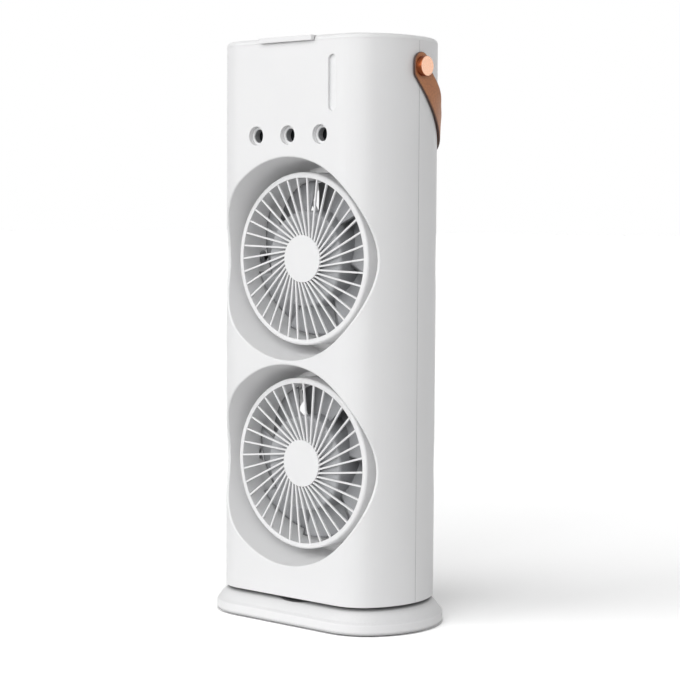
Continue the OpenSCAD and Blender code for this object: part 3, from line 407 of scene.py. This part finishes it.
def strap_path():
    """Points (across the tower, along the strap) of the strap's path in its slanting plane."""
    back = STRAP_BELOW * math.cos(SLANT)
    bend = [(x, (y + back) / math.sin(SLANT)) for x, y in tower_quarter(STRAP_GAP, 24)]
    x = BODY_W / 2 + STRAP_GAP
    nose = [(x, NOSE - NOSE_R * math.cos(math.radians(a))) for a in (4, 12, 22, 33, 45, 56, 67, 79)]
    leg = [(x, NOSE + (bend[0][1] - NOSE) * i / 18) for i in range(18)]
    right = nose + leg + bend
    return right + [(-px, py) for px, py in reversed(right)]


path = strap_path()
strap_length = sum(math.dist(a, b) for a, b in zip(path, path[1:]))
print("strap:", len(path), "rings,", round(strap_length * 1000), "mm long from end to end")

# %% [markdown]
# Soft leather lies flat against what it is wrapped round. Beside the studs the band lies in
# its slanting plane, and behind them each line across it turns until it lies against the
# tower. The cut edge is rounded by how far each point is from the outline of the strap.

# %% The form of the strap
SOFT_TOP, SOFT_FRONT = 0.0006, 0.0008
TURN_FROM, TURN_OVER = 0.014, 0.02


def strap_reach(along):
    """How far the strap reaches below and above the line of its path."""
    round_half = math.sqrt(max(NOSE_R ** 2 - (along - NOSE) ** 2, 0))
    above = NOSE_SIDE + round_half
    if along > NOSE:
        above = (above + STRAP_ABOVE + math.sqrt((above - STRAP_ABOVE) ** 2 + SOFT_TOP ** 2)) / 2
    if along - NOSE < -NOSE_R * math.sin(SLANT):
        return round_half - NOSE_SIDE, above
    front = STRAP_FRONT / math.sin(SLANT) + along
    below = (front + STRAP_BELOW - math.sqrt((front - STRAP_BELOW) ** 2 + SOFT_FRONT ** 2)) / 2
    return below, above


def strap_rim(along, side, below, above):
    """Distance of a point on the band from the band's cut edge."""
    rim = NOSE_R - math.hypot(along - NOSE, side - NOSE_SIDE)
    if along >= NOSE or side - NOSE_SIDE < along - NOSE:
        band = min(side + below, above - side, (along + side) * math.sin(SLANT) + STRAP_FRONT)
        rim = max(rim, band)
    return max(rim, 0.0)


def strap_ruling(run, along):
    """Direction up across the band, from the slanting plane round to flat against the tower."""
    level = math.hypot(run.x, run.y)
    flat = Vector((-run.x * run.z / level, -run.y * run.z / level, level))
    t = max(0.0, min(1.0, (along - TURN_FROM) / TURN_OVER))
    share = t * t * (3 - 2 * t)
    slanting = Vector((0, math.cos(SLANT), math.sin(SLANT)))
    return (slanting * (1 - share) + flat * share).normalized()


print("strap width:", round((STRAP_BELOW + STRAP_ABOVE) * 1000, 1), "mm")

# %% The strap's mesh
BURNISH_W = 0.0007


def new_piece(mesh, name, material, sharp=None):
    """A finished mesh as an object with one material, smooth, or creased above sharp degrees."""
    bmesh.ops.recalc_face_normals(mesh, faces=mesh.faces)
    data = bpy.data.meshes.new(name)
    mesh.to_mesh(data)
    mesh.free()
    data.shade_smooth()
    if sharp:
        data.set_sharp_from_angle(angle=math.radians(sharp))
    data.materials.append(material)
    piece = bpy.data.objects.new(name, data)
    bpy.context.scene.collection.objects.link(piece)
    return piece


def strap_mesh(edge_r=0.0006, steps=20):
    down = Vector((0, math.sin(SLANT), -math.cos(SLANT)))
    slanting = Vector((0, math.cos(SLANT), math.sin(SLANT)))
    mesh = bmesh.new()
    edge = mesh.verts.layers.float.new("edge")
    rings = []
    for i, (px, py) in enumerate(path):
        before, after = path[max(i - 1, 0)], path[min(i + 1, len(path) - 1)]
        run = (Vector((after[0] - before[0], 0, 0)) + down * (after[1] - before[1])).normalized()
        ruling = strap_ruling(run, py)
        out = run.cross(ruling).normalized()
        foot = Vector((px, 0, STUD_Z)) + down * py - slanting * STRAP_BELOW
        below, above = strap_reach(py)
        shares = [(1 - math.cos(math.pi * k / steps)) / 2 for k in range(steps + 1)]
        ring = []
        outside = [(True, k) for k in range(steps + 1)]
        inside = [(False, k) for k in range(steps, -1, -1)]
        for outer, k in outside + inside:
            side = -below + (below + above) * shares[k]
            rim = strap_rim(py, side, below, above)
            lost = edge_r - math.sqrt(edge_r ** 2 - max(edge_r - rim, 0) ** 2)
            height = STRAP_T - lost if outer else lost
            vert = mesh.verts.new(foot + ruling * (side + STRAP_BELOW) + out * height)
            vert[edge] = max(0.0, 1 - rim / BURNISH_W)
            ring.append(vert)
        rings.append(ring)
    count = len(rings[0])
    for a, b in zip(rings, rings[1:]):
        for k in range(count):
            mesh.faces.new((a[k], a[(k + 1) % count], b[(k + 1) % count], b[k]))
    mesh.faces.new(reversed(rings[0]))
    mesh.faces.new(rings[-1])
    return mesh


strap = new_piece(strap_mesh(), "leather_strap", leather)
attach(strap, "strap")
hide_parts("carry_strap")
print("strap mesh:", len(strap.data.polygons), "faces")

# %% [markdown]
# ## The fan wheels
# Each head hides a moulded wheel: a cup that covers the motor and seven swept blades. On the
# CAD solid the blades are flat plates, twisted in a few steps. A real blade is thickest near
# its leading edge, thins out to the trailing edge and blends into the cup, so the visible
# wheel is built as smooth sheets of points: one function turns a place along the span and
# across the chord into a point. The wheel keeps the solid's cup and clearances. Its blades
# sweep 66 degrees where the solid's sweep 48, which is nearer to the blades in the photograph.

# %% Points of the fan wheel
HEAD_Y, HEADS = -0.006, {"upper": 0.2003, "lower": 0.0874}
CUP_R, CUP_BACK, CUP_FRONT, CUP_WALL = 0.0265, -0.0075, 0.0153, 0.0016
BLADES, BLADE_TIP, BLADE_BACK, BLADE_H = 7, 0.0428, -0.0064, 0.0136
BLADE_T, BLADE_SUNK, TWIST = 0.0015, 0.0008, math.radians(66)
BOSS_R, BOSS_BACK = 0.0044, -0.0025


def cup_profile():
    """(radius, height) from the middle of the cup's face, over its round edge to the open back."""
    round_r = 0.002
    edge = [(CUP_R - round_r + round_r * math.sin(a), CUP_FRONT - round_r + round_r * math.cos(a))
            for a in (math.radians(15 * i) for i in range(7))]
    face = [(CUP_R * k / 6, CUP_FRONT - 0.0004 * (1 - k / 6)) for k in range(1, 5)]
    inner = CUP_R - CUP_WALL
    return face + edge + [(CUP_R, CUP_BACK + 0.0003), (CUP_R - 0.0003, CUP_BACK),
                          (inner + 0.0003, CUP_BACK), (inner, CUP_BACK + 0.0003),
                          (inner, CUP_FRONT - CUP_WALL - 0.001), (BOSS_R, CUP_FRONT - CUP_WALL - 0.001),
                          (BOSS_R, BOSS_BACK), (0.0018, BOSS_BACK)]


def blade_point(span, chord, side):
    """A point of a blade: span 0 to 1 outwards, chord 0 to 1 to the front, side -1 or 1."""
    radius = CUP_R - BLADE_SUNK + (BLADE_TIP - CUP_R + BLADE_SUNK) * span
    thick = BLADE_T * 2.6 * math.sqrt(chord) * (1 - chord) + 0.00025 * (chord * (1 - chord)) ** 0.25
    root = 1 + 0.9 * math.exp(-span * 14)
    angle = math.radians(8) * (1 - span) ** 2 - TWIST * chord + side * thick / 2 * root / radius
    return Vector((radius * math.cos(angle), radius * math.sin(angle), BLADE_BACK + BLADE_H * chord))


print("cup profile:", len(cup_profile()), "points; blade tip moves on a circle of",
      round(BLADE_TIP * 2000, 1), "mm")

# %% The fan wheel's mesh
def lathe(mesh, profile, steps=96):
    """Turns (radius, height) points round Z and closes the start with a middle point."""
    turns = [2 * math.pi * i / steps for i in range(steps)]
    rings = [[mesh.verts.new((r * math.cos(a), r * math.sin(a), z)) for a in turns] for r, z in profile]
    for a, b in zip(rings, rings[1:]):
        for i in range(steps):
            mesh.faces.new((a[i], b[i], b[(i + 1) % steps], a[(i + 1) % steps]))
    for ring in (rings[0], rings[-1]):
        middle = mesh.verts.new((0, 0, ring[0].co.z))
        for i in range(steps):
            mesh.faces.new((ring[i], ring[(i + 1) % steps], middle))


def blade(mesh, turn):
    spans, chords = 12, 20
    one_side = [(k / chords, 1) for k in range(chords + 1)]
    other_side = [(k / chords, -1) for k in range(chords - 1, 0, -1)]
    loop = one_side + other_side
    rings = [[mesh.verts.new(turn @ blade_point(j / spans, c, s)) for c, s in loop]
             for j in range(spans + 1)]
    for a, b in zip(rings, rings[1:]):
        for k in range(len(loop)):
            mesh.faces.new((a[k], a[(k + 1) % len(loop)], b[(k + 1) % len(loop)], b[k]))
    mesh.faces.new(rings[-1])


def wheel_mesh():
    mesh = bmesh.new()
    lathe(mesh, cup_profile())
    for i in range(BLADES):
        blade(mesh, Matrix.Rotation(2 * math.pi * i / BLADES, 4, "Z"))
    return mesh


WHEEL_TURN = {"upper": 0, "lower": 17}
for head, height in HEADS.items():
    wheel = new_piece(wheel_mesh(), head + "_fan_wheel", grey_fan)
    turned = Matrix.Rotation(math.radians(WHEEL_TURN[head]), 4, "Z")
    forward = Matrix.Rotation(math.pi / 2, 4, "X")
    wheel.data.transform(Matrix.Translation((0, HEAD_Y, height)) @ forward @ turned)
    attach(wheel, head + "_rotor")
    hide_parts(head + "_impeller")
    print(wheel.name, "has", len(wheel.data.polygons), "faces")

# %% [markdown]
# ## The studs
# The strap turns on two copper studs. Each is turned on a lathe: a plain flat face, a
# rounded rim, a straight side and a thinner neck that goes through the strap and the wall.
# The same lathe function as for the wheel's cup makes them.

# %% The studs
STUD_R, STUD_T, STUD_NECK, STUD_EDGE, STUD_FACE = 0.0054, 0.0036, 0.0025, 0.0006, 0.0044
stud_low, stud_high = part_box("stud_right")
stud_base = stud_high.x - STUD_T
rim = [(STUD_R - STUD_EDGE + STUD_EDGE * math.sin(a), STUD_T - STUD_EDGE + STUD_EDGE * math.cos(a))
       for a in (math.radians(18 * i) for i in range(6))]
stud_profile = [(0.001, STUD_T), (STUD_FACE, STUD_T)] + rim + [
    (STUD_R, 0.0003), (STUD_R - 0.0002, 0.0001), (STUD_NECK, 0.0001),
    (STUD_NECK, stud_low.x - stud_base + 0.0004), (STUD_NECK - 0.0004, stud_low.x - stud_base)]
for name, side in (("stud_right", 1), ("stud_left", -1)):
    mesh = bmesh.new()
    lathe(mesh, stud_profile, 64)
    place = Matrix.Translation((side * stud_base, 0, STUD_Z)) @ Matrix.Rotation(side * math.pi / 2, 4, "Y")
    bmesh.ops.transform(mesh, matrix=place, verts=mesh.verts)
    stud = new_piece(mesh, "turned_" + name, copper, sharp=40)
    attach(stud, "tower")
    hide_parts(name)
    print(stud.name, "has", len(stud.data.polygons), "faces")

# %% [markdown]
# ## Screws with a cross recess
# The shells, the foot and the base are held by pan-head screws. A bare disc would not read
# as a screw: the eye looks for the cross that the driver fits, the soft edge of the pressed
# head and the shadow inside the recess. The cross is a ring of points like the head's own
# edge, only at another distance from the middle, so head and recess join without a cut.

# %% Screws with a cross recess
def cross_reach(angle, arm, half):
    """Distance from the middle to the edge of a cross with arms arm long and 2 * half wide."""
    off = abs((angle + math.pi / 4) % (math.pi / 2) - math.pi / 4)
    return min(arm / math.cos(off), half / max(math.sin(off), 1e-6))


def screw(mesh, place, head_r, head_t, shank_r, shank_l):
    """One screw whose head rests on z = 0 and whose shank points down, put in its place."""
    arm, half = head_r * 0.6, head_r * 0.15
    corner = math.atan2(half, arm)
    mid = (corner + math.pi / 4) / 2
    quarter = [0, corner, mid, math.pi / 4, math.pi / 2 - mid, math.pi / 2 - corner]
    angles = [q + k * math.pi / 2 for k in range(4) for q in quarter]
    levels = [(0.35, None, head_t * 0.35), (1.0, None, head_t), (None, head_r * 0.84, head_t),
              (None, head_r * 0.95, head_t * 0.92), (None, head_r, head_t * 0.68), (None, head_r, 0.0),
              (None, shank_r, 0.0), (None, shank_r, -shank_l * 0.9), (None, shank_r * 0.4, -shank_l)]
    rings = []
    for share, radius, z in levels:
        reach = [radius or cross_reach(a, arm, half) * share for a in angles]
        rings.append([mesh.verts.new(place @ Vector((r * math.cos(a), r * math.sin(a), z)))
                      for r, a in zip(reach, angles)])
    for a, b in zip(rings, rings[1:]):
        for i in range(len(angles)):
            mesh.faces.new((a[i], b[i], b[(i + 1) % len(angles)], a[(i + 1) % len(angles)]))
    mesh.faces.new(rings[0])
    mesh.faces.new(rings[-1])


def screw_set(name, body, node, screws):
    """Several screws, each (place, head_r, head_t, shank_r, shank_l), as one piece of metal."""
    mesh = bmesh.new()
    for each in screws:
        screw(mesh, *each)
    piece = new_piece(mesh, name, steel, sharp=35)
    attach(piece, body)
    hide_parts(node)
    print(name, "has", len(screws), "screws,", len(piece.data.polygons), "faces")


SHELL_SCREW_X, SHELL_SCREW_Z = 0.05, (0.038, 0.14385, 0.262)
FOOT_SCREW_X, FOOT_SCREW_Y = 0.0545, 0.016
BASE_SCREW_X, BASE_SCREW_Y = 0.052, 0.022
back = Matrix.Rotation(-math.pi / 2, 4, "X")
under = Matrix.Rotation(math.pi, 4, "X")
shell_screws = [(Matrix.Translation((side * SHELL_SCREW_X, 0.014, z)) @ back
                 @ Matrix.Rotation(z * 40 + side, 4, "Z"), 0.0027, 0.0018, 0.0014, 0.024)
                for side in (-1, 1) for z in SHELL_SCREW_Z]
foot_screws = [(Matrix.Translation((x * FOOT_SCREW_X, y * FOOT_SCREW_Y, 0.016)) @ under
                @ Matrix.Rotation(x + 2 * y, 4, "Z"), 0.0027, 0.001, 0.0014, 0.008)
               for x in (-1, 1) for y in (-1, 1)]
base_screws = [(Matrix.Translation((x * BASE_SCREW_X, y * BASE_SCREW_Y, 0.0018)) @ under
                @ Matrix.Rotation(2 * x + y, 4, "Z"), 0.0026, 0.0008, 0.0014, 0.004)
               for x in (-1, 1) for y in (-1, 1)]
screw_set("shell_and_foot_screws", "tower", "tower_screws", shell_screws + foot_screws)
screw_set("foot_plate_screws", "base", "base_screws", base_screws)

# %% [markdown]
# ## The charging socket
# A small reversible socket is a drawn steel shell with round ends, and a thin black tongue
# stands in its middle; the gold contacts on the tongue are not drawn. The shell is a sheet bent
# round a pin, so it has one even wall, and its mouth is slightly flared for the plug.

# %% The charging socket
SOCKET_W, SOCKET_H, SOCKET_WALL = 0.009, 0.0033, 0.0003
socket_low, socket_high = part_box("usb_socket")
socket_z = (socket_low.z + socket_high.z) / 2


def pill(width, height, steps=10):
    """Points round a flat shape with half-circle ends."""
    r = height / 2
    right = [(width / 2 - r + r * math.cos(a), r * math.sin(a))
             for a in (math.radians(-90 + 180 * i / steps) for i in range(steps + 1))]
    return right + [(-x, -z) for x, z in right]


def pill_stack(name, material, levels):
    """A solid through flat rings, each (width, height, y), that rides on the tower."""
    mesh = bmesh.new()
    rings = [[mesh.verts.new((x, y, socket_z + z)) for x, z in pill(w, h)] for w, h, y in levels]
    for a, b in zip(rings, rings[1:]):
        for i in range(len(a)):
            mesh.faces.new((a[i], b[i], b[(i + 1) % len(a)], a[(i + 1) % len(a)]))
    mesh.faces.new(rings[0])
    mesh.faces.new(rings[-1])
    piece = new_piece(mesh, name, material, sharp=40)
    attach(piece, "tower")
    print(name, "has", len(piece.data.polygons), "faces")
    return piece


inner_w, inner_h = SOCKET_W - 2 * SOCKET_WALL, SOCKET_H - 2 * SOCKET_WALL
shell = pill_stack("charging_socket", steel, [
    (SOCKET_W - 0.0004, SOCKET_H - 0.0004, socket_low.y), (SOCKET_W, SOCKET_H, socket_low.y + 0.0006),
    (SOCKET_W, SOCKET_H, socket_high.y), (inner_w + 0.0003, inner_h + 0.0003, socket_high.y),
    (inner_w, inner_h, socket_high.y - 0.0005), (inner_w, inner_h, socket_low.y + 0.0014)])
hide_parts("usb_socket")
pill_stack("charging_socket_tongue", dark_nylon, [
    (0.0067, 0.0009, socket_low.y + 0.001), (0.0067, 0.0009, socket_high.y - 0.0013),
    (0.0064, 0.0007, socket_high.y - 0.0009), (0.006, 0.0004, socket_high.y - 0.0008)])

# %% [markdown]
# ## Studio
# The fan stands on a seamless white sweep between soft lights. Two large ones stand low at
# the front, left and right of the camera's line, so that the front is evenly bright and the
# openings are lit right into their lower halves. A weaker one hangs above. Behind the right
# side is only a weak glow, so that side falls into a light grey and darkens to its far edge.
# Each soft light is a sun lamp with a wide angle: it has no distance, so the floor is lit
# evenly right out to the horizon.

# %% Lights
def soft_light(name, azimuth, elevation, energy, angle=50):
    """A sun lamp, its direction in degrees to the right of the front and above the floor."""
    lamp = bpy.data.lights.new(name, "SUN")
    lamp.energy = energy
    lamp.angle = math.radians(angle)
    lamp_object = bpy.data.objects.new(name, lamp)
    bpy.context.scene.collection.objects.link(lamp_object)
    a, e = math.radians(azimuth), math.radians(elevation)
    towards = Vector((math.sin(a) * math.cos(e), -math.cos(a) * math.cos(e), math.sin(e)))
    lamp_object.rotation_euler = towards.to_track_quat("Z", "Y").to_euler()
    print(name, "light from", azimuth, "degrees right,", elevation, "up, strength", energy)


soft_light("left", -30, 20, 1.25)
soft_light("right", 25, 20, 1.0)
soft_light("top", 0, 50, 0.48)

# %% [markdown]
# The world is the room round the set. For the camera and for reflections it is white. For
# the light that it gives, it glows on the right, less at the back, and faintly elsewhere.

# %% World
world = bpy.data.worlds.new("studio")
bpy.context.scene.world = world
world.use_nodes = True
sky = world.node_tree
sky.nodes.clear()
ray = add(sky, "LightPath")
mirror = add(sky, "Math", {"operation": "MAXIMUM"},
             {0: ray.outputs["Is Glossy Ray"], 1: ray.outputs["Is Transmission Ray"]})
seen = add(sky, "Math", {"operation": "MAXIMUM"},
           {0: ray.outputs["Is Camera Ray"], 1: mirror.outputs[0]})
towards = add(sky, "TexCoord").outputs["Generated"]
level = 0.05
for side, glow in (((1.0, 0.0, 0.0), 0.78), ((0.0, 1.0, 0.0), 0.3)):
    facing = add(sky, "VectorMath", {"operation": "DOT_PRODUCT"}, {0: towards, 1: side})
    lit = add(sky, "Math", {"operation": "MAXIMUM"}, {0: facing.outputs["Value"], 1: 0.0})
    lobe = add(sky, "Math", {"operation": "POWER"}, {0: lit.outputs[0], 1: 2.0})
    total = add(sky, "Math", {"operation": "MULTIPLY_ADD"}, {0: lobe.outputs[0], 1: glow, 2: level})
    level = total.outputs[0]
    print("towards", side, "the room glows with", glow)
fill = add(sky, "Background", None, {"Color": linear("#FFFFFF"), "Strength": level})
white = add(sky, "Background", None, {"Color": linear("#FFFFFF"), "Strength": 1.0})
choice = add(sky, "MixShader", None, {0: seen.outputs[0], 1: fill.outputs[0], 2: white.outputs[0]})
add(sky, "OutputWorld", None, {"Surface": choice.outputs[0]})
print("the room is built from", len(sky.nodes), "nodes")

# %% [markdown]
# The floor is a plain sheet of white card with a faint mottle. In a photo studio the sweep
# gets lamps of its own until it is as white as the wall, and only the fan's shadow is left
# on it. Here the card answers the same light twice as strongly when the camera or a
# reflection looks at it, and gives off a little light besides, so the lamps for the fan
# needn't change.

# %% Floor
FLOOR_HALF, CARD_ANSWER, CARD_LIFT = 20, 1.66, 0.15
corners = [(x * FLOOR_HALF, y * FLOOR_HALF, 0) for x, y in ((-1, -1), (1, -1), (1, 1), (-1, 1))]
floor_mesh = bpy.data.meshes.new("studio_floor")
floor_mesh.from_pydata(corners, [], [(0, 1, 2, 3)])
floor = bpy.data.objects.new("studio_floor", floor_mesh)
bpy.context.scene.collection.objects.link(floor)
card = bpy.data.materials.new("card white matt")
card.use_nodes = True
tree = card.node_tree
tree.nodes.clear()
mottle = add(tree, "TexNoise", None, {"Vector": add(tree, "TexCoord").outputs["Object"],
                                      "Scale": per_mm(60)})
paper = add(tree, "Mix", {"data_type": "RGBA"},
            {"Factor": mottle.outputs["Fac"], 6: linear("#E9E9E9"), 7: linear("#E7E7E7")})
ray = add(tree, "LightPath")
seen = add(tree, "Math", {"operation": "MAXIMUM"},
           {0: ray.outputs["Is Camera Ray"], 1: ray.outputs["Is Glossy Ray"]})
answer = add(tree, "Mix", {"data_type": "RGBA"}, {"Factor": seen.outputs[0], 6: paper.outputs[2],
                                                  7: (CARD_ANSWER,) * 3 + (1.0,)})
matt = add(tree, "BsdfDiffuse", None, {"Color": answer.outputs[2]})
lift = add(tree, "Math", {"operation": "MULTIPLY"}, {0: seen.outputs[0], 1: CARD_LIFT})
glow = add(tree, "Emission", None, {"Color": linear("#FFFFFF"), "Strength": lift.outputs[0]})
both = add(tree, "AddShader", None, {0: matt.outputs[0], 1: glow.outputs[0]})
add(tree, "OutputMaterial", None, {"Surface": both.outputs[0]})
floor_mesh.materials.append(card)
print("floor:", floor_mesh.polygons[0].area, "square metres")
